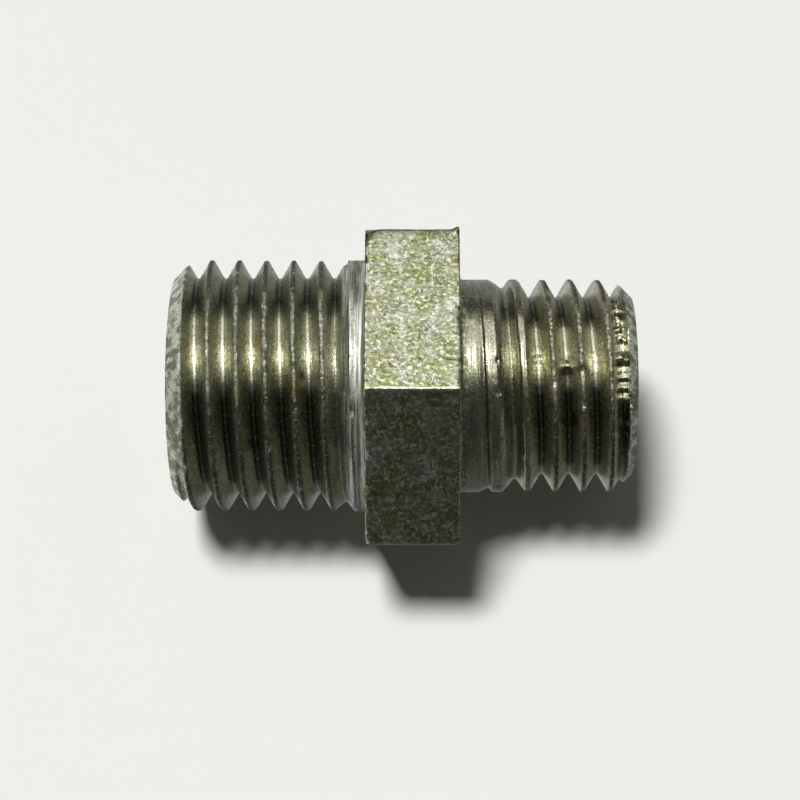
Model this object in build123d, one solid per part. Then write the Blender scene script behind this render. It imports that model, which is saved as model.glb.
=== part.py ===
from build123d import *
from build123d.topology import SkipClean
from math import ceil, cos, pi, radians, sin, sqrt, tan
import os

# A reducing hex nipple, in millimetres. Its axis is X: the larger threaded end points to -X and
# the smaller one to +X. The origin is on the axis, in the middle of the hexagon, and the hexagon
# has one flat facing down, so that the part lies level on it.
# It is one turned piece. Its three machined sections are kept as separate solids that meet face
# to face, with each joint across the short plain neck beside the hexagon.

# Threads: metric, parallel and right-handed, with the same pitch on both ends
PITCH = 1.5
LARGE_MAJOR = 13.85
SMALL_MAJOR = 11.75
FLANK_ANGLE = 30.0
CREST_WIDTH = PITCH / 8
ROOT_WIDTH = 0.1
THREAD_DEPTH = (PITCH - CREST_WIDTH - ROOT_WIDTH) / 2 / tan(radians(FLANK_ANGLE))

# Body
ACROSS_FLATS = 16.8
HEX_WIDTH = 5.0
LARGE_END_LENGTH = 10.5
SMALL_END_LENGTH = 9.5
END_CHAMFER = 0.93
NECK_LENGTH = 0.45
SHOULDER_FILLET = 0.25

# From the hexagon's face to where each groove stops being fully deep. From there its root rises
# steadily, as the tool was drawn out.
LARGE_RUNOUT = 1.6
SMALL_RUNOUT = 3.95

# From each end face to the first crest, above the axis
LARGE_FIRST_CREST = 0.70
SMALL_FIRST_CREST = 1.62

# Bore: the larger drill stops inside the hexagon, and its point leads down to the smaller bore
LARGE_BORE = 9.0
SMALL_BORE = 7.0
LARGE_BORE_DEPTH = LARGE_END_LENGTH + 1.0
DRILL_POINT_ANGLE = 118.0
MOUTH_CHAMFER = 0.4

# The cutter of the groove reaches past the crests, and ends clear of the bar
CUTTER_PROUD = 0.08
CUTTER_CLEARANCE = 0.1
POINTS_PER_TURN = 24

# The bars are turned about X by this angle, so that no seam meets the start of a groove
SEAM_ANGLE = 10.0

HEX_FACE = HEX_WIDTH / 2
LARGE_FACE = -HEX_FACE - LARGE_END_LENGTH
SMALL_FACE = HEX_FACE + SMALL_END_LENGTH


def turned(corners):
    """A solid turned about X from (x, radius) corners."""
    return revolve(make_face(Polyline(*corners, close=True)), Axis.X)


def chamfered_bar(major, length):
    """A plain bar from its chamfered end face at x = 0 to the joint at x = length."""
    radius = major / 2
    bar = turned(
        [(0, 0), (0, radius - END_CHAMFER), (END_CHAMFER, radius), (length, radius), (length, 0)]
    )
    return bar.rotate(Axis.X, SEAM_ANGLE)


def groove_section(x, root):
    """The V of the groove above the axis, with its root at this radius."""
    height = THREAD_DEPTH + CUTTER_PROUD
    half_root = ROOT_WIDTH / 2
    half_mouth = half_root + height * tan(radians(FLANK_ANGLE))
    return make_face(
        Polyline(
            (x - half_root, 0, root),
            (x + half_root, 0, root),
            (x + half_mouth, 0, root + height),
            (x - half_mouth, 0, root + height),
            close=True,
        )
    )


def thread_groove(major, first_crest, fade_start, fade_end):
    """The helical groove, from outside the end face to where it has risen out of the bar."""
    full_radius = major / 2 - THREAD_DEPTH
    start = first_crest - PITCH / 2
    while start > -PITCH / 4:
        start -= PITCH
    turns = ceil((fade_end - start) / PITCH)

    def root_radius(x):
        fade = min(max((x - fade_start) / (fade_end - fade_start), 0), 1)
        return full_radius + fade * (THREAD_DEPTH + CUTTER_CLEARANCE)

    def root_point(i):
        turn = i / POINTS_PER_TURN
        x = start + PITCH * turn
        radius = root_radius(x)
        return (x, -radius * sin(2 * pi * turn), radius * cos(2 * pi * turn))

    path = Spline(*[root_point(i) for i in range(turns * POINTS_PER_TURN + 1)])
    axis_line = Line((start, 0, 0), (start + turns * PITCH, 0, 0))
    return sweep(groove_section(start, full_radius), path=path, binormal=axis_line.edge())


def threaded_end(major, end_length, first_crest, run_out):
    """A threaded end that points to -X, from its end face at x = 0 to the joint in the neck."""
    joint = end_length - NECK_LENGTH
    bar = chamfered_bar(major, joint)
    groove = thread_groove(major, first_crest, end_length - run_out, joint)
    with SkipClean():
        return bar.cut(groove)


def necked_side(major):
    """The plain neck on the +X side of the hexagon, with a fillet at the shoulder."""
    radius = major / 2
    fillet_end = HEX_FACE + SHOULDER_FILLET
    neck_end = HEX_FACE + NECK_LENGTH
    outline = Polyline(
        (HEX_FACE, radius + SHOULDER_FILLET),
        (HEX_FACE, 0),
        (neck_end, 0),
        (neck_end, radius),
        (fillet_end, radius),
    )
    fillet_arc = RadiusArc(
        (fillet_end, radius), (HEX_FACE, radius + SHOULDER_FILLET), SHOULDER_FILLET
    )
    return revolve(make_face([outline, fillet_arc]), Axis.X)


def hexagon():
    """The hexagon and both necks, still without the bore."""
    outline = Plane.YZ * RegularPolygon(ACROSS_FLATS / sqrt(3), 6)
    prism = extrude(outline, HEX_FACE, both=True)
    return prism + necked_side(SMALL_MAJOR) + necked_side(LARGE_MAJOR).rotate(Axis.Z, 180)


def bore():
    """The stepped hole right through the part, with a chamfer at each mouth."""
    large = LARGE_BORE / 2
    small = SMALL_BORE / 2
    step = LARGE_FACE + LARGE_BORE_DEPTH
    point_end = step + (large - small) / tan(radians(DRILL_POINT_ANGLE / 2))
    return turned(
        [
            (LARGE_FACE, 0),
            (LARGE_FACE, large + MOUTH_CHAMFER),
            (LARGE_FACE + MOUTH_CHAMFER, large),
            (step, large),
            (point_end, small),
            (SMALL_FACE - MOUTH_CHAMFER, small),
            (SMALL_FACE, small + MOUTH_CHAMFER),
            (SMALL_FACE, 0),
        ]
    )


def sections():
    """Each named section of the nipple, in its place and bored."""
    large = threaded_end(LARGE_MAJOR, LARGE_END_LENGTH, LARGE_FIRST_CREST, LARGE_RUNOUT)
    small = threaded_end(SMALL_MAJOR, SMALL_END_LENGTH, SMALL_FIRST_CREST, SMALL_RUNOUT)
    placed = {
        "large_thread_end": Pos(LARGE_FACE, 0, 0) * large,
        "wrench_hexagon": hexagon(),
        "small_thread_end": Pos(SMALL_FACE, 0, 0) * Rot(0, 0, 180) * small,
    }
    hole = bore()
    with SkipClean():
        return {name: solid.cut(hole) for name, solid in placed.items()}


os.makedirs("parts", exist_ok=True)
for name, solid in sections().items():
    export_step(solid, f"parts/{name}.step")
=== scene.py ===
import itertools
import math
from collections import namedtuple

import bpy
import numpy as np
from mathutils import Matrix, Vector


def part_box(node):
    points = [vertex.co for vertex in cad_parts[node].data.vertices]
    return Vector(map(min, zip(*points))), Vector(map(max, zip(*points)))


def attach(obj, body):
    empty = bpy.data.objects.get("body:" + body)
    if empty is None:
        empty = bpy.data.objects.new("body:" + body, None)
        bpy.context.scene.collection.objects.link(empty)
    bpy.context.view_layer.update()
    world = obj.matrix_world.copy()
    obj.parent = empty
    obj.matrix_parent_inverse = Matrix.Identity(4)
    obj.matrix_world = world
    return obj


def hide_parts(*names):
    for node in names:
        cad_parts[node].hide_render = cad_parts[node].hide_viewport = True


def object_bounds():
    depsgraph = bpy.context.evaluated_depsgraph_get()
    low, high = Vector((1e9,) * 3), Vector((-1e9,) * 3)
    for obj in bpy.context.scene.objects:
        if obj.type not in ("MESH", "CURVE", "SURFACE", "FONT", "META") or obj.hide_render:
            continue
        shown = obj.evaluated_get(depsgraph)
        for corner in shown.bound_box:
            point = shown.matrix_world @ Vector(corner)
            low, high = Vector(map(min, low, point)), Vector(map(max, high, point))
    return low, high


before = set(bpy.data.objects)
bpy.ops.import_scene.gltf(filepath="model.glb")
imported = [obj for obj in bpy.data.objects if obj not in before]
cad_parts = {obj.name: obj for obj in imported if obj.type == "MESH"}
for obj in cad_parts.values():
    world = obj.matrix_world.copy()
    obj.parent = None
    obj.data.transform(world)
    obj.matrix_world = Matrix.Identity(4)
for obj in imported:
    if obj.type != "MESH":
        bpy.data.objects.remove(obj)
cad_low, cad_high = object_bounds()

# Meshes are worked out in millimetres, in the frame of the CAD, and written in metres. The axis
# is X, and angles about it start at the top (+Z) and grow towards the front (-Y).
MM = 0.001

# Threads, as in the CAD
PITCH = 1.5
FLANK_SLOPE = 1 / math.tan(math.radians(30))
ROOT_HALF = 0.05
CREST_HALF = PITCH / 16
DEPTH = (PITCH / 2 - ROOT_HALF - CREST_HALF) * FLANK_SLOPE
END_CHAMFER = 0.93
MOUTH_CHAMFER = 0.4
CUTTER_CLEARANCE = 0.1
LARGE_FIRST_CREST = 0.70
SMALL_FIRST_CREST = 1.62
LARGE_RUNOUT = 1.6
SMALL_RUNOUT = 3.95

# Hexagon and radii of the bore, as in the CAD
HEX_FACE = 2.5
SHOULDER_FILLET = 0.25
LARGE_BORE = 4.5
SMALL_BORE = 3.5
STEP_X = -1.5
DRILL_HALF_ANGLE = math.radians(59)

# Edges that the tool and handling have rounded. The groove deepens over LEAD_IN from the end
# face. In the run-out its flank towards the hexagon flattens, but not below RUN_OUT_SLOPE.
LEAD_IN = 0.7
RUN_OUT_SLOPE = 0.4
ROOT_FILL = 0.06
ROOT_ROUND = 0.07
CREST_ROUND = 0.06
CHAMFER_ROUND = 0.08
CORNER_RADIUS = 0.19
EDGE_RADIUS = 0.09

# Wear, as noise of this height with features of this size
Wear = namedtuple("Wear", "height size")
FINE_TEARS = Wear(0.030, 0.2)
BROAD_TEARS = Wear(0.026, 0.5)
CHATTER = Wear(0.006, 0.35)
THREAD_WAVES = Wear(0.012, 2.2)
HEX_GRAIN = Wear(0.006, 0.2)
HEX_DENTS = Wear(0.008, 0.45)
HEX_WAVES = Wear(0.025, 2.4)
HEX_PITS = Wear(0.05, 0.5)
EDGE_CHIPS = Wear(0.09, 0.6)
SOOT_RAGGED = Wear(0.12, 0.5)
SETBACK = 0.02

# How deep below the bar's surface the tearing and each look of the thread are gone, and how deep
# the look of the root begins
TORN_DEPTH = 0.25
CREST_DEPTH = 0.14
RIDGE_DEPTH = 0.6
LAND_DEPTH = 1.125
LAND_BLEND = 0.9
ROOT_DEPTH = 0.7
ROOT_BLEND = 0.25

# How near the end chamfer's cone its look reaches
CONE_NEAR = 0.3
CONE_BLEND = 0.15
CONE_PAST_EDGE = 0.05
CONE_EDGE_BLEND = 0.2

# The share of the tearing that the run-out is spared, and the length over which it takes over
RUN_OUT_SPARED = 0.85
RUN_OUT_BLEND = 0.5

# How dirty the run-outs and the big nicks are, and how far dirt spreads about a nick
RUN_OUT_GRIME = 0.6
NICK_GRIME = 0.9
NICK_GRIME_SPREAD = 1.3

# Nicks: distance in from the end face, angle in the end's own frame, size and depth. The end's
# own frame has its end face at x = 0, pointing to -X. A nick of negative depth is a burr. Dirt
# has gathered in and around the big ones.
Nick = namedtuple("Nick", "x angle size depth")
BIG_NICK = 0.29
LARGE_NICKS = (
    Nick(7.15, 26, 0.28, 0.16), Nick(9.9, 40, 0.30, 0.12), Nick(0.9, 44, 0.25, 0.10),
    Nick(4.6, 60, 0.25, 0.12), Nick(9.55, 32, 0.16, 0.10), Nick(5.2, 8, 0.18, 0.10),
    Nick(2.2, 14, 0.20, 0.09), Nick(8.2, 75, 0.22, 0.12), Nick(3.6, -20, 0.22, 0.10),
    Nick(6.4, 140, 0.3, 0.12), Nick(1.8, 200, 0.3, 0.12), Nick(7.8, 290, 0.3, 0.12),
)
SMALL_NICKS = (
    Nick(3.1, -22, 0.36, 0.22), Nick(3.8, -17, 0.30, -0.22), Nick(3.45, -50, 0.30, 0.14),
    Nick(0.5, -40, 0.28, 0.16), Nick(0.35, -62, 0.28, 0.14), Nick(5.2, -12, 0.22, 0.10),
    Nick(1.9, -6, 0.18, 0.08), Nick(4.7, 30, 0.25, 0.10), Nick(2.6, 150, 0.3, 0.12),
    Nick(4.1, 230, 0.3, 0.12),
)

# Scattered nicks: how far they stray from the crest or root, how clear of the hexagon those on
# crests stay, and the least size and depth, each with what chance adds to it
NICK_SCATTER = 0.2
CLEAR_OF_HEXAGON = 1.0
CREST_NICK_SIZE = (0.11, 0.12)
CREST_NICK_DEPTH = (-0.03, 0.17)
DEBRIS_SIZE = (0.09, 0.11)
DEBRIS_DEPTH = (0.10, -0.34)

# Arcs round the axis, in degrees, where the roots and crests are darkened, and how soft they end.
# The first two are painted shade, below and above the band that the lights make bright, and the
# third darkens the underside.
SHADE_ARCS = ((32, 92), (-62, -18), (140, 200))
SHADE_ARC_FADE = 9

# How many fillet radii beyond the larger neck its turned look reaches
NECK_LOOK = 1.2

# How bare handling has worn each long corner of the hexagon, from the top back one on
CORNER_WEAR = (0.1, 0.6, 0.8, 0.5, 0.7, 1.0)

# The two ends of the top back corner: place along it, size and height of a burr, and of the end
# that has been knocked round. Soot has gathered along this corner.
CORNER_KNOCKS = ((2.45, 0.22, 0.24), (-2.5, 0.40, -0.26))
SOOT_REACH = 0.30
CHIP_REACH = 0.16

# Mesh steps. A row within JOINS_RING of a ring joins it, the last row lies PAST_END beyond the
# others, and the wear settles over SETTLE_LENGTH before the joint. Edges above SHARP_DEGREES stay
# sharp, and a point within TOLERANCE of a surface counts as on it.
COLUMNS = 360
JOINS_RING = 1e-4
PAST_END = 0.05
SETTLE_LENGTH = 0.15
WALL_ROWS = 24
FLAT_STEPS = 92
FLAT_ROWS = 48
CORNER_STEPS = 6
SMALL_BORE_ROWS = 6
TOLERANCE = 0.01
SHARP_DEGREES = 50

# Large numbers that stir whole numbers into random ones
STIR_CORNER = (73856093, 19349663, 83492791)
STIR_SEED = 2654435761
STIR_AGAIN = 0x2C1B3C6D
LOW_32_BITS = 0xFFFFFFFF


def in_mm(vector):
    """A place in metres, in millimetres."""
    return [value / MM for value in vector]


large_low, large_high = map(in_mm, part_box("large_thread_end"))
small_low, small_high = map(in_mm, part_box("small_thread_end"))
hex_low, hex_high = map(in_mm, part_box("wrench_hexagon"))
HALF_FLATS = hex_high[2]
HALF_SIDE = HALF_FLATS / math.sqrt(3)
NECK = -HEX_FACE - hex_low[0]
LARGE_RADIUS = (large_high[2] - large_low[2]) / 2
SMALL_RADIUS = (small_high[2] - small_low[2]) / 2
LARGE_FACE = large_low[0]
SMALL_FACE = small_high[0]


# ---------------------------------------------------------------- numbers

def smooth_step(value):
    """From 0 to 1 as the value does, level at both ends and beyond them."""
    inside = np.clip(value, 0, 1)
    return inside * inside * (3 - 2 * inside)


def soft_min(a, b, width):
    """The lower of a and b, with the corner between them rounded off."""
    near = np.clip(width - np.abs(a - b), 0, None) / width
    return np.minimum(a, b) - near * near * width / 4


def soft_max(a, b, width):
    """The higher of a and b, with the corner between them filled in."""
    return -soft_min(-a, -b, width)


def near_zero(distance, size):
    """1 where the distance is nothing, falling off over this size."""
    return np.exp(-(distance / size) ** 2)


def lattice_value(corner, seed):
    """A fixed random number from -1 to 1 for each whole-number corner."""
    stirred = corner * np.array(STIR_CORNER)
    mixed = stirred[..., 0] ^ stirred[..., 1] ^ stirred[..., 2]
    mixed = (mixed ^ seed * STIR_SEED) & LOW_32_BITS
    for shift in (15, 13, 16):
        mixed = ((mixed ^ (mixed >> shift)) * STIR_AGAIN) & LOW_32_BITS
    return mixed / 2 ** 31 - 1


def noise(points, wear, seed):
    """Smooth noise at these points, within the wear's height up or down."""
    place = points / wear.size
    corner = np.floor(place).astype(np.int64)
    inside = smooth_step(place - corner)
    total = np.zeros(points.shape[:-1])
    for offset in itertools.product((0, 1), repeat=3):
        weight = np.prod(np.where(offset, inside, 1 - inside), axis=-1)
        total += weight * lattice_value(corner + np.array(offset), seed)
    return wear.height * total


def by_chance(span, chance):
    """The least of a span, and what it grows by times a number from 0 to 1."""
    least, growth = span
    return least + growth * chance


# ---------------------------------------------------------------- meshes

def signed_volume(points, faces):
    """Six times the volume inside the faces, positive when they face outwards."""
    first = points[[face[0] for face in faces]]
    volume = 0.0
    for step in (1, 2):
        fan = [(face[step], face[step + 1]) if len(face) > step + 1 else (face[0], face[0])
               for face in faces]
        second, third = points[[a for a, _ in fan]], points[[b for _, b in fan]]
        volume += np.einsum("ij,ij->i", first, np.cross(second, third)).sum()
    return volume


def add_object(name, data):
    """A new object in the scene."""
    thing = bpy.data.objects.new(name, data)
    bpy.context.scene.collection.objects.link(thing)
    return thing


def make_piece(name, points, faces, attributes, node, material):
    """A closed mesh from points in millimetres, which replaces a CAD node."""
    if signed_volume(points, faces) < 0:
        faces = [face[::-1] for face in faces]
    mesh = bpy.data.meshes.new(name)
    mesh.from_pydata((points * MM).tolist(), [], faces)
    for key, values in attributes.items():
        layer = mesh.attributes.new(key, "FLOAT", "POINT")
        layer.data.foreach_set("value", np.asarray(values, np.float32))
    mesh.shade_smooth()
    mesh.set_sharp_from_angle(angle=math.radians(SHARP_DEGREES))
    mesh.materials.append(material)
    piece = add_object(name, mesh)
    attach(piece, "root")
    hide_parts(node)


def without_repeats(corners):
    """The corners of a face, each only once."""
    kept = []
    for corner in corners:
        if corner not in kept:
            kept.append(corner)
    return tuple(kept)


def ring_faces(first_ring, second_ring):
    """Four-sided faces between two rings of point numbers."""
    count = len(first_ring)
    return [
        (first_ring[i], first_ring[(i + 1) % count], second_ring[(i + 1) % count], second_ring[i])
        for i in range(count)
    ]


# ---------------------------------------------------------------- threaded ends

# One threaded end: its end face and the way it faces, its sizes, how much the run-out's flank
# spreads into a cone, how bare the run-out is, the bore's radius, the seed of its wear, and nicks
End = namedtuple("End", "face way length radius first_crest run_out spread bare bore seed nicks")


def pitch_rows():
    """Row places in one pitch, closer together at the root and at the crest's edges.

    Each stop says how many rows come before it, and how far from the root it is.
    """
    stops = [(0, 0.0), (2, 0.045), (3, 0.125), (5, 0.60), (4, 0.70), (1, PITCH / 2)]
    half = [0.0]
    for (_, start), (count, stop) in zip(stops, stops[1:]):
        half += [start + (stop - start) * (i + 1) / count for i in range(count)]
    return [-value for value in reversed(half)][:-1] + half[:-1]


def thread_radius(end, x, turn):
    """The radius of the threaded surface, x millimetres in from the end face."""
    first_root = end.first_crest - PITCH / 2
    phase = (x - first_root - PITCH * turn + PITCH / 2) % PITCH - PITCH / 2
    fade_start = end.length - end.run_out
    fade = np.clip((x - fade_start) / (end.length - NECK - fade_start), 0, 1)
    root = end.radius - DEPTH + fade * (DEPTH + CUTTER_CLEARANCE)
    root = root + DEPTH * smooth_step(1 - x / LEAD_IN)
    cone_slope = np.maximum(FLANK_SLOPE * (1 - end.spread * fade), RUN_OUT_SLOPE)
    slope = np.where(phase > 0, cone_slope, FLANK_SLOPE)
    flank = root + (np.abs(phase) - ROOT_HALF) * slope
    cut = soft_max(root + ROOT_FILL, flank, ROOT_ROUND)
    turned = soft_min(cut, end.radius, CREST_ROUND)
    return soft_min(turned, end.radius - END_CHAMFER + x, CHAMFER_ROUND)


def around(x, radius, turn):
    """Points in the end's own frame."""
    angle = 2 * math.pi * turn
    return np.stack(
        np.broadcast_arrays(x, -radius * np.sin(angle), radius * np.cos(angle)), axis=-1
    )


def nick_centre(end, nick):
    """Where the nick is on the thread before any wear."""
    turn = nick.angle / 360
    return around(nick.x, thread_radius(end, nick.x, turn), turn)


def past_run_out(end, x):
    """0 on the full thread and 1 where it runs out towards the hexagon."""
    return smooth_step((x - end.length + end.run_out) / RUN_OUT_BLEND)


def worn_radius(end, x, turn):
    """The thread's radius with torn crests, tool chatter and nicks."""
    radius = thread_radius(end, x, turn)
    place = around(x, radius, turn)
    crest = smooth_step(1 - (end.radius - radius) / TORN_DEPTH)
    torn = noise(place, FINE_TEARS, end.seed) + noise(place, BROAD_TEARS, end.seed + 1) - SETBACK
    radius = radius + crest * (1 - RUN_OUT_SPARED * past_run_out(end, x)) * torn
    radius += (1 - crest) * noise(place, CHATTER, end.seed + 2)
    radius += noise(place, THREAD_WAVES, end.seed + 3)
    for nick in end.nicks:
        distance = np.linalg.norm(place - nick_centre(end, nick), axis=-1)
        radius -= nick.depth * near_zero(distance, nick.size)
    return radius


def crest_nicks(length, first_crest, count, seed):
    """Small nicks and burrs scattered along the crests."""
    chance = np.random.default_rng(seed)
    nicks = []
    while len(nicks) < count:
        turn, crest, shift, spread, depth = chance.random(5)
        x = first_crest + PITCH * (math.floor(crest * length / PITCH) + turn)
        if x < length - CLEAR_OF_HEXAGON:
            x += NICK_SCATTER * (shift - 0.5)
            size = by_chance(CREST_NICK_SIZE, spread ** 2)
            nicks.append(Nick(x, 360 * turn, size, by_chance(CREST_NICK_DEPTH, depth)))
    return tuple(nicks)


def root_debris(first_crest, angles, count, seed):
    """Torn metal left in the root of the groove between two angles, where the thread starts."""
    chance = np.random.default_rng(seed)
    nicks = []
    for _ in range(count):
        place, shift, spread, height = chance.random(4)
        angle = angles[0] + (angles[1] - angles[0]) * place
        x = first_crest - PITCH / 2 + PITCH * angle / 360 + NICK_SCATTER * (shift - 0.5)
        size = by_chance(DEBRIS_SIZE, spread)
        nicks.append(Nick(x, angle, size, by_chance(DEBRIS_DEPTH, height)))
    return tuple(nicks)


def helix_rows(first_crest, joint):
    """Where each row of points is at the top of the end. It gains a pitch in each turn."""
    start = first_crest - PITCH / 2
    while start - PITCH / 2 > -PITCH:
        start -= PITCH
    places = []
    while start - PITCH / 2 < joint:
        places += [start + place for place in pitch_rows()]
        start += PITCH
    return np.array(places + [places[-1] + PAST_END])


def threaded_skin(end, joint, turns):
    """Points and faces of the outside, in rows that follow the helix.

    The first COLUMNS points are the ring at the end face, and the next COLUMNS the ring at the
    joint. Rows that pass either ring share its points.
    """
    row_x = helix_rows(end.first_crest, joint)
    x = row_x[None, :] + PITCH * turns[:, None]
    turn = np.broadcast_to(turns[:, None], x.shape)
    inside = (x > JOINS_RING) & (x < joint - JOINS_RING)
    low = np.arange(COLUMNS)
    high = low + COLUMNS
    index = np.where(x <= JOINS_RING, low[:, None], high[:, None])
    index[inside] = 2 * COLUMNS + np.arange(inside.sum())

    # The wear settles to nothing at the joint, so that the sections meet
    plain = thread_radius(end, x[inside], turn[inside])
    wear = worn_radius(end, x[inside], turn[inside]) - plain
    settled = plain + wear * smooth_step((joint - x[inside]) / SETTLE_LENGTH)
    points = np.concatenate([
        around(0.0, worn_radius(end, np.zeros(COLUMNS), turns), turns),
        around(joint, thread_radius(end, np.full(COLUMNS, joint), turns), turns),
        around(x[inside], settled, turn[inside]),
    ])
    # After a full turn the rows have moved on by one pitch
    columns = index.tolist()
    per_pitch = len(pitch_rows())
    columns.append(columns[0][per_pitch:] + [COLUMNS] * per_pitch)
    faces = []
    for here, after in zip(columns, columns[1:]):
        for j in range(len(row_x) - 1):
            face = without_repeats((here[j], after[j], after[j + 1], here[j + 1]))
            if len(face) > 2:
                faces.append(face)
    return points, faces


def bored_rings(end, joint, end_radius):
    """(x, radius) of the rings from the rim of the end face in to the joint."""
    mouth = end.bore + MOUTH_CHAMFER
    rings = [(0.0, end_radius + (mouth - end_radius) * part) for part in (0.35, 0.7, 1.0)]
    rings += [(MOUTH_CHAMFER * part, mouth - MOUTH_CHAMFER * part) for part in (0.5, 1.0)]
    depth = joint - MOUTH_CHAMFER
    rings += [(MOUTH_CHAMFER + depth * (i + 1) / WALL_ROWS, end.bore) for i in range(WALL_ROWS)]
    return rings


def painted_shade_arcs(points):
    """1 in the arcs of painted shade round the axis and 0 outside them, for points in the CAD's
    frame.
    """
    angle = np.degrees(np.arctan2(-points[:, 1], points[:, 2]))
    shade_arc = np.zeros(len(points))
    for start, stop in SHADE_ARCS:
        away = np.abs((angle - (start + stop) / 2 + 180) % 360 - 180)
        shade_arc = np.maximum(shade_arc, smooth_step(((stop - start) / 2 - away) / SHADE_ARC_FADE + 0.5))
    return shade_arc


def thread_areas(end, local, placed):
    """Where each look of the thread's material goes, from 0 to 1 at each point."""
    x = local[:, 0]
    radius = np.hypot(local[:, 1], local[:, 2])
    depth = end.radius - radius
    run_out = past_run_out(end, x) * smooth_step((LAND_DEPTH - depth) / LAND_BLEND)
    cone = smooth_step((CONE_NEAR - np.abs(x + depth - END_CHAMFER)) / CONE_BLEND)
    cone *= smooth_step((END_CHAMFER + CONE_PAST_EDGE - x) / CONE_EDGE_BLEND)
    grime = RUN_OUT_GRIME * run_out * (1 - end.bare)
    for nick in end.nicks:
        if nick.size > BIG_NICK:
            away = np.linalg.norm(local - nick_centre(end, nick), axis=1)
            near = near_zero(away, NICK_GRIME_SPREAD * nick.size)
            grime = np.maximum(grime, NICK_GRIME * near)
    return {
        "ridge": smooth_step(1 - depth / RIDGE_DEPTH) * (1 - run_out),
        "crest": smooth_step(1 - depth / CREST_DEPTH) * (1 - run_out),
        "root": smooth_step((depth - ROOT_DEPTH) / ROOT_BLEND),
        "land": run_out * end.bare,
        "grime": grime,
        "bore": (radius < end.bore + MOUTH_CHAMFER + TOLERANCE).astype(float),
        "cone": cone,
        # Painted shade: the arcs round the axis where roots and crests are darkened
        "shade_arc": painted_shade_arcs(placed),
        "warm": np.full(len(local), 1 - end.bare),
    }


def threaded_end(end, name, node, material):
    """The outside, the end face, the chamfered mouth, the bore and the joint, all closed."""
    joint = end.length - NECK
    turns = np.arange(COLUMNS) / COLUMNS
    local, faces = threaded_skin(end, joint, turns)
    end_radius = np.hypot(local[:COLUMNS, 1], local[:COLUMNS, 2])
    ring = list(range(COLUMNS))
    for x, radius in bored_rings(end, joint, end_radius):
        following = list(range(len(local), len(local) + COLUMNS))
        faces += [face[::-1] for face in ring_faces(ring, following)]
        local = np.concatenate([local, around(np.full(COLUMNS, x), radius, turns)])
        ring = following
    joint_ring = list(range(COLUMNS, 2 * COLUMNS))
    faces += [face[::-1] for face in ring_faces(ring, joint_ring)]
    placed = local * np.array([end.way, end.way, 1.0]) + np.array([end.face, 0.0, 0.0])
    make_piece(name, placed, faces, thread_areas(end, local, placed), node, material)


# ---------------------------------------------------------------- hexagon

def hexagon_outline():
    """Points, outward directions and wear round the rounded hexagon in the YZ plane.

    The wear of each corner reaches half as strong to the first point of the flat after it.
    """
    straight = (HALF_FLATS - CORNER_RADIUS) / math.sqrt(3)
    points, normals, bare = [], [], []
    for side in range(6):
        facing = math.radians(90 - 60 * side)
        normal = np.array([math.cos(facing), math.sin(facing)])
        along = np.array([math.sin(facing), -math.cos(facing)])
        for i in range(FLAT_STEPS):
            points.append(normal * HALF_FLATS + along * straight * (2 * i / FLAT_STEPS - 1))
            normals.append(normal)
            bare.append(0.0 if i else 0.5 * CORNER_WEAR[side - 1])
        centre = normal * (HALF_FLATS - CORNER_RADIUS) + along * straight
        for i in range(CORNER_STEPS):
            turned = facing - math.radians(60) * i / CORNER_STEPS
            direction = np.array([math.cos(turned), math.sin(turned)])
            points.append(centre + direction * CORNER_RADIUS)
            normals.append(direction)
            bare.append(CORNER_WEAR[side])
    return np.array(points), np.array(normals), np.array(bare)


def hexagon_rings(outline, normals):
    """(x, places in the YZ plane, roughness) of each ring, over the outside and back down the bore.

    The roughness is 1 on the flats and 0 on turned faces.
    """
    directions = outline / np.linalg.norm(outline, axis=1)[:, None]
    rings = []

    def circle(x, radius):
        rings.append((x, directions * radius, 0.0))

    def prism(x, inset):
        rings.append((x, outline - normals * inset, 1.0))

    def shoulder(x, radius, parts):
        edge = outline - normals * EDGE_RADIUS
        for part in parts:
            rings.append((x, edge * (1 - part) + directions * radius * part, 0.0))

    def fillet(way, radius, parts):
        for part in parts:
            angle = part * math.pi / 2
            circle(way * (HEX_FACE + SHOULDER_FILLET * (1 - math.sin(angle))),
                   radius + SHOULDER_FILLET * (1 - math.cos(angle)))

    def rounded_edge(way, steps):
        for step in steps:
            angle = step * math.pi / 6
            prism(way * (HEX_FACE - EDGE_RADIUS * (1 - math.cos(angle))),
                  EDGE_RADIUS * (1 - math.sin(angle)))

    quarters = (0.0, 0.25, 0.5, 0.75, 1.0)
    circle(hex_low[0], LARGE_BORE)
    circle(hex_low[0], LARGE_RADIUS)
    fillet(-1, LARGE_RADIUS, quarters)
    shoulder(-HEX_FACE, LARGE_RADIUS + SHOULDER_FILLET, quarters[3::-1])
    rounded_edge(-1, (1, 2, 3))
    half = HEX_FACE - EDGE_RADIUS
    for i in range(1, FLAT_ROWS):
        prism(-half + 2 * half * i / FLAT_ROWS, 0.0)
    rounded_edge(1, (3, 2, 1))
    shoulder(HEX_FACE, SMALL_RADIUS + SHOULDER_FILLET, quarters[:4])
    fillet(1, SMALL_RADIUS, quarters[::-1])
    circle(hex_high[0], SMALL_RADIUS)
    circle(hex_high[0], SMALL_BORE)
    point_x = STEP_X + (LARGE_BORE - SMALL_BORE) / math.tan(DRILL_HALF_ANGLE)
    for x in np.linspace(hex_high[0], point_x, SMALL_BORE_ROWS + 1)[1:]:
        circle(x, SMALL_BORE)
    circle(STEP_X, LARGE_BORE)
    return rings


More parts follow.
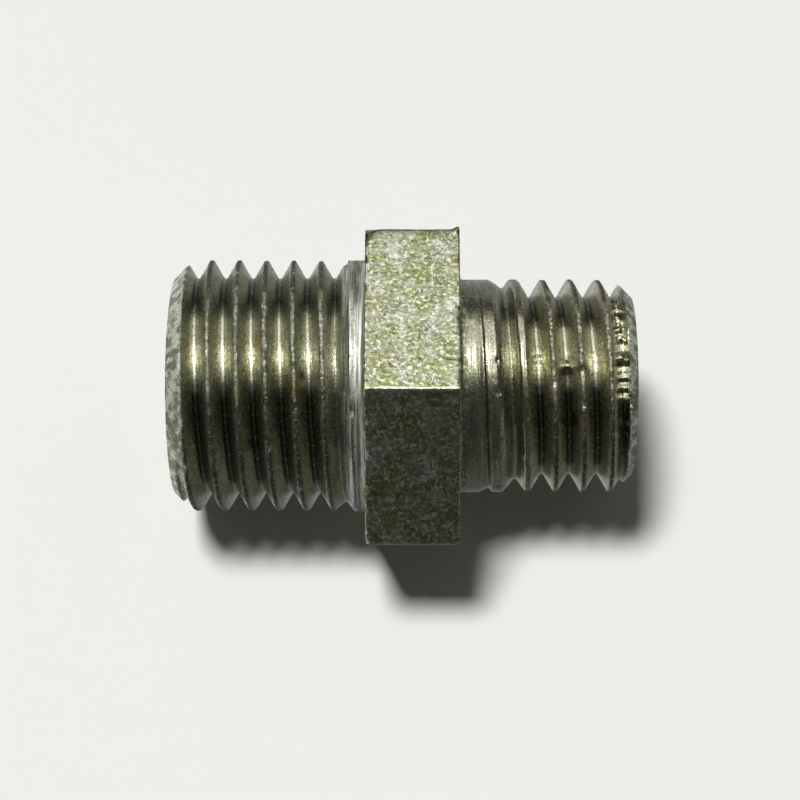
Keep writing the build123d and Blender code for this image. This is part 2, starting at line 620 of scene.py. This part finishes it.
def hexagon_relief(local, seed):
    """How far wear moves each point of the flats outwards."""
    relief = (noise(local, HEX_GRAIN, seed) + noise(local, HEX_DENTS, seed + 1)
              + noise(local, HEX_WAVES, seed + 2) - SETBACK)
    pit = noise(local, HEX_PITS, seed + 3) - 0.5 * HEX_PITS.height
    relief -= np.clip(pit, 0, None)
    # Chipped edges beside the shoulders
    edge = near_zero(HEX_FACE - np.abs(local[:, 0]), CHIP_REACH)
    relief -= edge * np.clip(noise(local, EDGE_CHIPS, seed + 4) + 0.02, 0, 1)
    for x, size, height in CORNER_KNOCKS:
        distance = np.linalg.norm(local - np.array((x, HALF_SIDE, HALF_FLATS)), axis=1)
        relief += height * near_zero(distance, size)
    return relief


def hexagon_piece(name, node, material, seed):
    """The hexagon with both plain necks and the stepped bore, worn on its flats and corners."""
    outline, normals, bare = hexagon_outline()
    rings = hexagon_rings(outline, normals)
    count, total = len(outline), len(rings)
    local = np.concatenate([np.column_stack([np.full(count, x), place]) for x, place, _ in rings])
    rough = np.repeat([amount for _, _, amount in rings], count)
    outward = np.tile(np.column_stack([np.zeros(count), normals]), (total, 1))
    from_corner = np.hypot(local[:, 1] - HALF_SIDE, local[:, 2] - HALF_FLATS)
    sooty = near_zero(from_corner, SOOT_REACH + noise(local, SOOT_RAGGED, seed + 5))
    local = local + outward * (hexagon_relief(local, seed) * rough)[:, None]
    faces = []
    for j in range(total):
        start, following = j * count, (j + 1) % total * count
        faces += ring_faces(range(start, start + count), range(following, following + count))
    radius = np.hypot(local[:, 1], local[:, 2])
    bore = radius < LARGE_BORE + TOLERANCE
    neck_radius = LARGE_RADIUS + NECK_LOOK * SHOULDER_FILLET
    neck = (local[:, 0] < TOLERANCE - HEX_FACE) & (radius < neck_radius)
    areas = {"flat": rough, "bore": bore, "land": neck & ~bore, "worn": rough * np.tile(bare, total),
             "sooty": sooty}
    make_piece(name, local, faces, areas, node, material)


# ---------------------------------------------------------------- materials

# A patch of another colour. Where noise with this many features to the millimetre rises from
# start to full, it comes to hide this share of what lies below. Each w gives other places.
Patch = namedtuple("Patch", "colour per_mm detail start full share w", defaults=(None,))

# Cut thread, and what broke, stained and dirtied it, and the painted shade of its roots and crests
THREAD_GREEN = (0.39, 0.40, 0.28)
THREAD_GOLD = (0.58, 0.55, 0.38)
THREAD_ROOT = (0.44, 0.44, 0.35)
TORN_CREST = (0.09, 0.095, 0.06)
# Painted shade on the deepest roots and on the crests, in the arcs round the axis
ROOT_SHADE = (0.07, 0.07, 0.05)
CREST_SHADE = (0.07, 0.07, 0.045)
GRIME = (0.11, 0.11, 0.07)
CHAMFER_DARK = (0.19, 0.22, 0.13)
THREAD_STAINS = (
    Patch((0.42, 0.42, 0.35), 0.42, 3.0, 0.38, 0.62, 1.0),
    Patch((0.36, 0.28, 0.13), 0.8, 4.0, 0.57, 0.69, 0.85),
    Patch((0.22, 0.24, 0.14), 4.0, 4.0, 0.50, 0.64, 0.6),
)
CHAMFER_SCRATCHES = Patch((0.80, 0.82, 0.68), 1.8, 6.0, 0.42, 0.56, 1.0)
THREAD_SPECKS = (
    Patch((0.10, 0.11, 0.06), 7.0, 3.0, 0.56, 0.68, 0.75),
    Patch((0.66, 0.66, 0.56), 7.6, 3.0, 0.58, 0.68, 0.6),
)

# Scale on the hexagon, its cracks and pits, and the bare metal of its corners
HEX_OLIVE = (0.20, 0.22, 0.10)
HEX_STAINS = (
    Patch((0.31, 0.32, 0.24), 0.7, 3.0, 0.42, 0.58, 1.0),
    Patch((0.215, 0.24, 0.075), 1.1, 3.0, 0.54, 0.67, 0.8),
    Patch((0.26, 0.20, 0.13), 0.8, 3.0, 0.56, 0.70, 0.65, 4.0),
    Patch((0.45, 0.45, 0.43), 0.9, 3.0, 0.56, 0.66, 0.8, 8.0),
    Patch((0.13, 0.15, 0.07), 3.2, 6.0, 0.50, 0.61, 0.7),
    Patch((0.55, 0.575, 0.44), 4.3, 6.0, 0.51, 0.62, 0.8),
)
HEX_CRACK = (0.035, 0.035, 0.02)
HEX_DARK_PITS = Patch((0.07, 0.08, 0.04), 6.5, 2.0, 0.60, 0.72, 0.8)
BARE_CORNER = (0.60, 0.60, 0.49)
CORNER_RUST = Patch((0.47, 0.38, 0.22), 0.6, 2.0, 0.56, 0.62, 1.0, 2.0)
HEX_SOOT = (0.08, 0.09, 0.045)

# Dark and bright lines of the turned surfaces, and the inside of the bore
TURNED_THREAD = ((0.22, 0.23, 0.19), (0.66, 0.67, 0.61))
TURNED_NECK = ((0.24, 0.25, 0.21), (0.66, 0.67, 0.61))
BORE_OIL = (0.13, 0.12, 0.09)
BORE_SHARE = 0.6
TURNED_SHARE = 0.9

# Tool marks: how many to the millimetre, and how far they change in a turn
MARKS_PER_MM = 9.0
MARKS_PER_TURN = 3.0

# Strength and height in millimetres of each relief
MARKS_BUMP = (0.6, 0.03)
THREAD_BUMP = (0.8, 0.05)
HEX_BUMP = (0.52, 0.06)
PAPER_BUMP = (0.05, 0.05)

PAPER = ((0.800, 0.802, 0.778), (0.812, 0.814, 0.792))


class Nodes:
    """Short ways to add shader nodes to the tree of a material or a world."""

    def __init__(self, owner):
        owner.use_nodes = True
        self.owner = owner
        self.tree = owner.node_tree

    def add(self, kind, operation=None):
        node = self.tree.nodes.new("ShaderNode" + kind)
        if operation:
            node.operation = operation
        return node

    def feed(self, socket, value):
        """Links an output to the socket, or sets the socket to a constant."""
        if isinstance(value, bpy.types.NodeSocket):
            self.tree.links.new(value, socket)
        else:
            socket.default_value = value

    def math(self, operation, a, b=0.0):
        node = self.add("Math", operation)
        self.feed(node.inputs[0], a)
        self.feed(node.inputs[1], b)
        return node.outputs[0]

    def times(self, first, *others):
        for other in others:
            first = self.math("MULTIPLY", first, other)
        return first

    def plus(self, first, *others):
        for other in others:
            first = self.math("ADD", first, other)
        return first

    def remap(self, value, low, high, to_low=0.0, to_high=1.0, smooth=False):
        """The value from low to high, turned into a number from to_low to to_high."""
        node = self.add("MapRange")
        if smooth:
            node.interpolation_type = "SMOOTHSTEP"
        self.feed(node.inputs["Value"], value)
        for key, number in (("From Min", low), ("From Max", high),
                            ("To Min", to_low), ("To Max", to_high)):
            self.feed(node.inputs[key], number)
        return node.outputs["Result"]


class MaterialNodes(Nodes):
    """Nodes of one material, placed by millimetres in the object's own space."""

    def __init__(self, name):
        super().__init__(bpy.data.materials.new(name))
        self.shader = self.tree.nodes["Principled BSDF"]
        scaled = self.add("VectorMath", "SCALE")
        scaled.inputs["Scale"].default_value = 1 / MM
        self.feed(scaled.inputs[0], self.add("TexCoord").outputs["Object"])
        self.place = scaled.outputs[0]

    def attribute(self, name):
        node = self.add("Attribute")
        node.attribute_name = name
        return node.outputs["Fac"]

    def noise(self, per_mm, detail=2.0, vector=None, w=None):
        node = self.add("TexNoise")
        if w is not None:
            node.noise_dimensions = "4D"
            self.feed(node.inputs["W"], w)
        self.feed(node.inputs["Vector"], vector or self.place)
        node.inputs["Scale"].default_value = per_mm
        node.inputs["Detail"].default_value = detail
        return node.outputs["Fac"]

    def mix(self, amount, a, b):
        node = self.add("Mix")
        node.data_type = "RGBA"
        self.feed(node.inputs["Factor"], amount)
        for key, value in (("A", a), ("B", b)):
            socket = next(s for s in node.inputs if s.name == key and s.type == "RGBA")
            self.feed(socket, value if isinstance(value, bpy.types.NodeSocket) else (*value, 1.0))
        return next(s for s in node.outputs if s.type == "RGBA")

    def patched(self, colour, *patches):
        """The colour with these patches over it, the last one on top."""
        for patch in patches:
            texture = self.noise(patch.per_mm, patch.detail, w=patch.w)
            shown = self.remap(texture, patch.start, patch.full, 0.0, patch.share)
            colour = self.mix(shown, colour, patch.colour)
        return colour

    def tool_marks(self):
        """Noise drawn out round the axis, as a turning tool leaves it."""
        parts = self.add("SeparateXYZ")
        self.feed(parts.inputs[0], self.place)
        x, y, z = parts.outputs
        radius = self.math("SQRT", self.plus(self.times(y, y), self.times(z, z)))
        joined = self.add("CombineXYZ")
        self.feed(joined.inputs[0], self.times(x, MARKS_PER_MM))
        self.feed(joined.inputs[1], self.times(radius, MARKS_PER_MM))
        self.feed(joined.inputs[2], self.times(self.math("DIVIDE", z, radius), MARKS_PER_TURN))
        w = self.times(self.math("DIVIDE", y, radius), MARKS_PER_TURN)
        return self.noise(1.0, 2.0, joined.outputs[0], w)

    def turned_lines(self, marks, dark, bright):
        """Dark and bright lines where the tool marks are low and high."""
        return self.mix(self.remap(marks, 0.42, 0.58), dark, bright)

    def bump(self, height, strength, distance_mm, normal=None):
        node = self.add("Bump")
        node.inputs["Strength"].default_value = strength
        node.inputs["Distance"].default_value = distance_mm * MM
        self.feed(node.inputs["Height"], height)
        if normal is not None:
            self.feed(node.inputs["Normal"], normal)
        return node.outputs[0]

    def finished(self, colour, roughness, normal):
        """The material, with these on its shader."""
        self.feed(self.shader.inputs["Base Color"], colour)
        self.feed(self.shader.inputs["Roughness"], roughness)
        self.feed(self.shader.inputs["Normal"], normal)
        return self.owner


def thread_steel():
    """Dull cut thread: torn dark crests, brighter roots, arcs of painted shade and turned run-outs.
    """
    n = MaterialNodes("thread_steel_dull")
    ridge, crest, root, land, grime, bore, cone, shade_arc, warm = (
        n.attribute(name)
        for name in ("ridge", "crest", "root", "land", "grime", "bore", "cone", "shade_arc", "warm")
    )
    marks = n.tool_marks()
    colour = n.patched(THREAD_GREEN, *THREAD_STAINS)
    golden = n.remap(n.noise(0.9, 3.0, w=7.0), 0.42, 0.62, 0.2, 0.75)
    colour = n.mix(n.times(warm, golden), colour, THREAD_GOLD)
    colour = n.mix(n.times(root, 0.85), colour, THREAD_ROOT)
    still_torn = n.remap(n.noise(5.0, 2.0), 0.47, 0.58, 0.95, 0.1)
    colour = n.mix(n.times(crest, still_torn), colour, TORN_CREST)
    # Painted shade: the deepest roots and the crests are darkened in the arcs round the axis
    deepest = n.math("POWER", root, 4.0)
    colour = n.mix(n.times(shade_arc, deepest, 0.95), colour, ROOT_SHADE)
    still_shaded = n.remap(n.noise(3.0, 2.0), 0.62, 0.70, 0.92, 0.1)
    colour = n.mix(n.times(shade_arc, crest, still_shaded), colour, CREST_SHADE)
    colour = n.mix(n.times(land, TURNED_SHARE), colour, n.turned_lines(marks, *TURNED_THREAD))
    blotches = n.patched(CHAMFER_DARK, CHAMFER_SCRATCHES)
    colour = n.mix(n.times(cone, 0.85), colour, blotches)
    colour = n.mix(n.times(grime, n.remap(marks, 0.40, 0.62, 1.0, 0.45)), colour, GRIME)
    colour = n.patched(colour, *THREAD_SPECKS)
    colour = n.mix(n.times(bore, BORE_SHARE), colour, BORE_OIL)
    n.shader.inputs["Metallic"].default_value = 1.0

    dull = n.remap(n.noise(5.0, 3.0), 0.3, 0.7, 0.17, 0.29)
    for area, extra in ((ridge, 0.12), (crest, 0.16), (land, 0.26)):
        dull = n.plus(dull, n.times(area, extra))
    drawn = n.times(n.plus(n.remap(land, 0.0, 1.0, 0.7, 2.6), grime),
                    n.remap(root, 0.0, 1.0, 1.0, 0.25))
    normal = n.bump(n.times(marks, drawn), *MARKS_BUMP)
    rough = n.plus(n.remap(ridge, 0.0, 1.0, 0.22, 1.6), n.times(cone, 2.2))
    normal = n.bump(n.times(n.noise(9.0, 3.0), rough), *THREAD_BUMP, normal)
    return n.finished(colour, dull, normal)


def hexagon_steel():
    """Pitted olive scale, with fine cracks, bare corners and turned necks."""
    n = MaterialNodes("hexagon_steel_pitted")
    flat, land, worn, sooty, bore = (
        n.attribute(name) for name in ("flat", "land", "worn", "sooty", "bore")
    )
    marks = n.tool_marks()
    off_crack = n.remap(n.math("ABSOLUTE", n.math("SUBTRACT", n.noise(2.2, 4.0), 0.5)), 0.0, 0.016)
    cracked = n.remap(n.noise(0.9, 2.0), 0.48, 0.62)
    crack = n.times(n.math("SUBTRACT", 1.0, off_crack), cracked)
    colour = n.patched(HEX_OLIVE, *HEX_STAINS)
    colour = n.mix(n.times(crack, 0.85), colour, HEX_CRACK)
    colour = n.patched(colour, HEX_DARK_PITS)
    colour = n.mix(n.times(worn, 0.8), colour, n.patched(BARE_CORNER, CORNER_RUST))
    colour = n.mix(n.times(sooty, 0.85), colour, HEX_SOOT)
    colour = n.mix(n.times(land, TURNED_SHARE), colour, n.turned_lines(marks, *TURNED_NECK))
    colour = n.mix(n.times(bore, BORE_SHARE), colour, BORE_OIL)
    n.shader.inputs["Metallic"].default_value = 1.0

    dull = n.plus(n.remap(n.noise(5.0, 3.0), 0.3, 0.7, 0.26, 0.40), n.times(land, 0.2))
    drawn = n.remap(flat, 0.0, 1.0, 1.8, 0.0)
    normal = n.bump(n.times(marks, drawn), *MARKS_BUMP)
    relief = n.plus(n.noise(7.0, 3.0), n.noise(3.0, 3.0),
                    n.times(n.math("SUBTRACT", 1.0, crack), 0.5))
    normal = n.bump(n.times(relief, n.remap(flat, 0.0, 1.0, 0.25, 1.0)), *HEX_BUMP, normal)
    return n.finished(colour, dull, normal)


def floor_paper():
    """Matt pale paper, hardly uneven."""
    n = MaterialNodes("floor_paper")
    n.shader.inputs["Specular IOR Level"].default_value = 0.1
    colour = n.mix(n.noise(0.02, 2.0), *PAPER)
    return n.finished(colour, 0.9, n.bump(n.noise(1.5, 3.0), *PAPER_BUMP))


# ---------------------------------------------------------------- the object

def large_end():
    """The larger end, whose run-out is bare turned metal."""
    length = -HEX_FACE - LARGE_FACE
    return End(
        face=LARGE_FACE, way=1.0, length=length, radius=LARGE_RADIUS, bore=LARGE_BORE, seed=11,
        first_crest=LARGE_FIRST_CREST, run_out=LARGE_RUNOUT, spread=1.6, bare=1.0,
        nicks=LARGE_NICKS + crest_nicks(length, LARGE_FIRST_CREST, count=90, seed=12),
    )


def small_end():
    """The smaller end, with a chain of torn metal where its thread starts."""
    length = SMALL_FACE - HEX_FACE
    return End(
        face=SMALL_FACE, way=-1.0, length=length, radius=SMALL_RADIUS, bore=SMALL_BORE, seed=31,
        first_crest=SMALL_FIRST_CREST, run_out=SMALL_RUNOUT, spread=1.2, bare=0.1,
        nicks=SMALL_NICKS + root_debris(SMALL_FIRST_CREST, (42, -62), count=44, seed=34)
        + crest_nicks(length, SMALL_FIRST_CREST - PITCH, count=110, seed=32),
    )


steel = thread_steel()
threaded_end(large_end(), "large_thread", "large_thread_end", steel)
threaded_end(small_end(), "small_thread", "small_thread_end", steel)
hexagon_piece("hexagon", "wrench_hexagon", hexagon_steel(), seed=71)


# ---------------------------------------------------------------- floor, light and camera

# In metres from here on. The key stands almost straight above the part, and is a disk of this
# apparent half-angle.
FLOOR_HALF = 6.0
KEY_DISTANCE = 1.5
KEY_HALF_ANGLE = math.radians(7)
KEY_LEAN_X = math.radians(-10.8)
KEY_LEAN_Y = math.radians(1.2)
KEY_RADIANCE = 28.0
FLOOR_KEY_RADIANCE = 43.8
KEY_COLOUR = (1.0, 1.0, 0.985)

# How bright the surroundings are, and what share of that lights the floor
WORLD_LEFT = 0.65
WORLD_RIGHT = 0.30
WORLD_BACK = 0.38
WORLD_FRONT = 0.080
WORLD_BELOW = 0.08
WORLD_DIFFUSE = 0.104
WORLD_COLOUR = (0.98, 0.99, 1.0, 1.0)
BACKDROP = (0.80, 0.80, 0.78, 1.0)

# The photograph's camera
CAMERA_DISTANCE = 0.1164
CAMERA_ELEVATION = math.radians(60.87)
CAMERA_TARGET_X = 0.00018
CLIP_START = 0.005
SENSOR_WIDTH = 36.0
LENS = 94.6
SHIFT_X = -0.0197
SHIFT_Y = -0.0178


def add_floor():
    level = cad_low[2]
    mesh = bpy.data.meshes.new("floor")
    signs = ((-1, -1), (1, -1), (1, 1), (-1, 1))
    corners = [(FLOOR_HALF * x, FLOOR_HALF * y, level) for x, y in signs]
    mesh.from_pydata(corners, [], [(0, 1, 2, 3)])
    mesh.materials.append(floor_paper())
    floor = add_object("floor", mesh)
    floor.visible_glossy = False


def aim(thing, place, target):
    """Puts a light or camera at a place, looking at a target with its top up."""
    back = np.array(place) - np.array(target)
    back = back / np.linalg.norm(back)
    side = np.cross((0.0, 0.0, 1.0), back)
    side = side / np.linalg.norm(side) if np.linalg.norm(side) > 1e-6 else np.array((1.0, 0.0, 0.0))
    top = np.cross(back, side)
    rows = [(side[i], top[i], back[i], place[i]) for i in range(3)]
    thing.matrix_world = Matrix(rows + [(0, 0, 0, 1)])


def add_soft_light(name, place, radiance, colour, width, depth=None):
    """A disk, or a rectangle if it has a depth, whose face has this radiance, aimed at the part."""
    light = bpy.data.lights.new(name, "AREA")
    light.shape = "RECTANGLE" if depth else "DISK"
    light.size = width
    area = math.pi * width * width / 4
    if depth:
        light.size_y = depth
        area = width * depth
    light.energy = radiance * math.pi * area
    light.color = colour
    thing = add_object(name, light)
    aim(thing, place, (0.0, 0.0, 0.0))
    return thing


def add_lights():
    """The key, and three lights that the floor or the metal alone takes up.

    The floor takes more of the key than the metal shows, and some fill. The metal shows a broad
    ceiling instead.
    """
    place = (KEY_DISTANCE * math.sin(KEY_LEAN_X), KEY_DISTANCE * math.sin(KEY_LEAN_Y), KEY_DISTANCE)
    width = 2 * KEY_DISTANCE * math.tan(KEY_HALF_ANGLE)
    add_soft_light("key", place, KEY_RADIANCE, KEY_COLOUR, width)
    floor_key = add_soft_light("floor_key", place, FLOOR_KEY_RADIANCE, KEY_COLOUR, width)
    floor_key.visible_glossy = False
    fill = add_soft_light("fill", place=(0.0, 0.0, 1.6), radiance=0.1, colour=(1.0, 1.0, 0.99),
                          width=3.2, depth=3.2)
    fill.visible_glossy = False
    ceiling = add_soft_light("ceiling", place=(0.0, 0.42, 1.54), radiance=1.55,
                             colour=(1.0, 1.0, 0.98), width=2.6, depth=2.2)
    ceiling.visible_diffuse = False


def add_world():
    """Surroundings for the metal to reflect, and a pale backdrop behind the floor.

    They are dark in front, dim behind, and pale low down on the left and the right, where the
    metal would show the lit floor.
    """
    world = bpy.data.worlds.new("studio")
    bpy.context.scene.world = world
    n = Nodes(world)
    parts = n.add("SeparateXYZ")
    n.feed(parts.inputs[0], n.add("TexCoord").outputs["Generated"])
    x, y, z = parts.outputs

    def ramp(value, start, stop, amount):
        return n.remap(value, start, stop, 0.0, amount, smooth=True)

    sides = n.plus(ramp(x, 0.0, -0.65, WORLD_LEFT), ramp(x, 0.4, 0.95, WORLD_RIGHT))
    low_sides = n.times(sides, ramp(z, 0.15, -0.05, 1.0))
    back = n.times(ramp(y, -0.3, 0.8, WORLD_BACK), ramp(z, 0.45, 0.0, 1.0))
    strength = n.math("MAXIMUM", n.plus(low_sides, back), WORLD_FRONT)
    strength = n.plus(strength, ramp(z, -0.2, -0.8, WORLD_BELOW))
    path = n.add("LightPath")
    strength = n.times(strength, n.remap(path.outputs["Is Diffuse Ray"], 0, 1, 1.0, WORLD_DIFFUSE))
    dim = n.tree.nodes["Background"]
    n.feed(dim.inputs["Color"], WORLD_COLOUR)
    n.feed(dim.inputs["Strength"], strength)
    pale = n.add("Background")
    n.feed(pale.inputs["Color"], BACKDROP)
    mix = n.add("MixShader")
    n.feed(mix.inputs[0], path.outputs["Is Camera Ray"])
    n.feed(mix.inputs[1], dim.outputs[0])
    n.feed(mix.inputs[2], pale.outputs[0])
    n.feed(n.tree.nodes["World Output"].inputs["Surface"], mix.outputs[0])


def add_camera():
    """The viewing angle of the photograph: from in front, 61 degrees up."""
    data = bpy.data.cameras.new("camera")
    data.sensor_width = SENSOR_WIDTH
    data.lens = LENS
    data.clip_start = CLIP_START
    data.shift_x = SHIFT_X
    data.shift_y = SHIFT_Y
    camera = add_object("camera", data)
    place = (CAMERA_TARGET_X, -CAMERA_DISTANCE * math.cos(CAMERA_ELEVATION),
             CAMERA_DISTANCE * math.sin(CAMERA_ELEVATION))
    aim(camera, place, (CAMERA_TARGET_X, 0.0, 0.0))
    bpy.context.scene.camera = camera


add_floor()
add_world()
add_lights()
add_camera()
bpy.context.scene.view_settings.view_transform = "Standard"
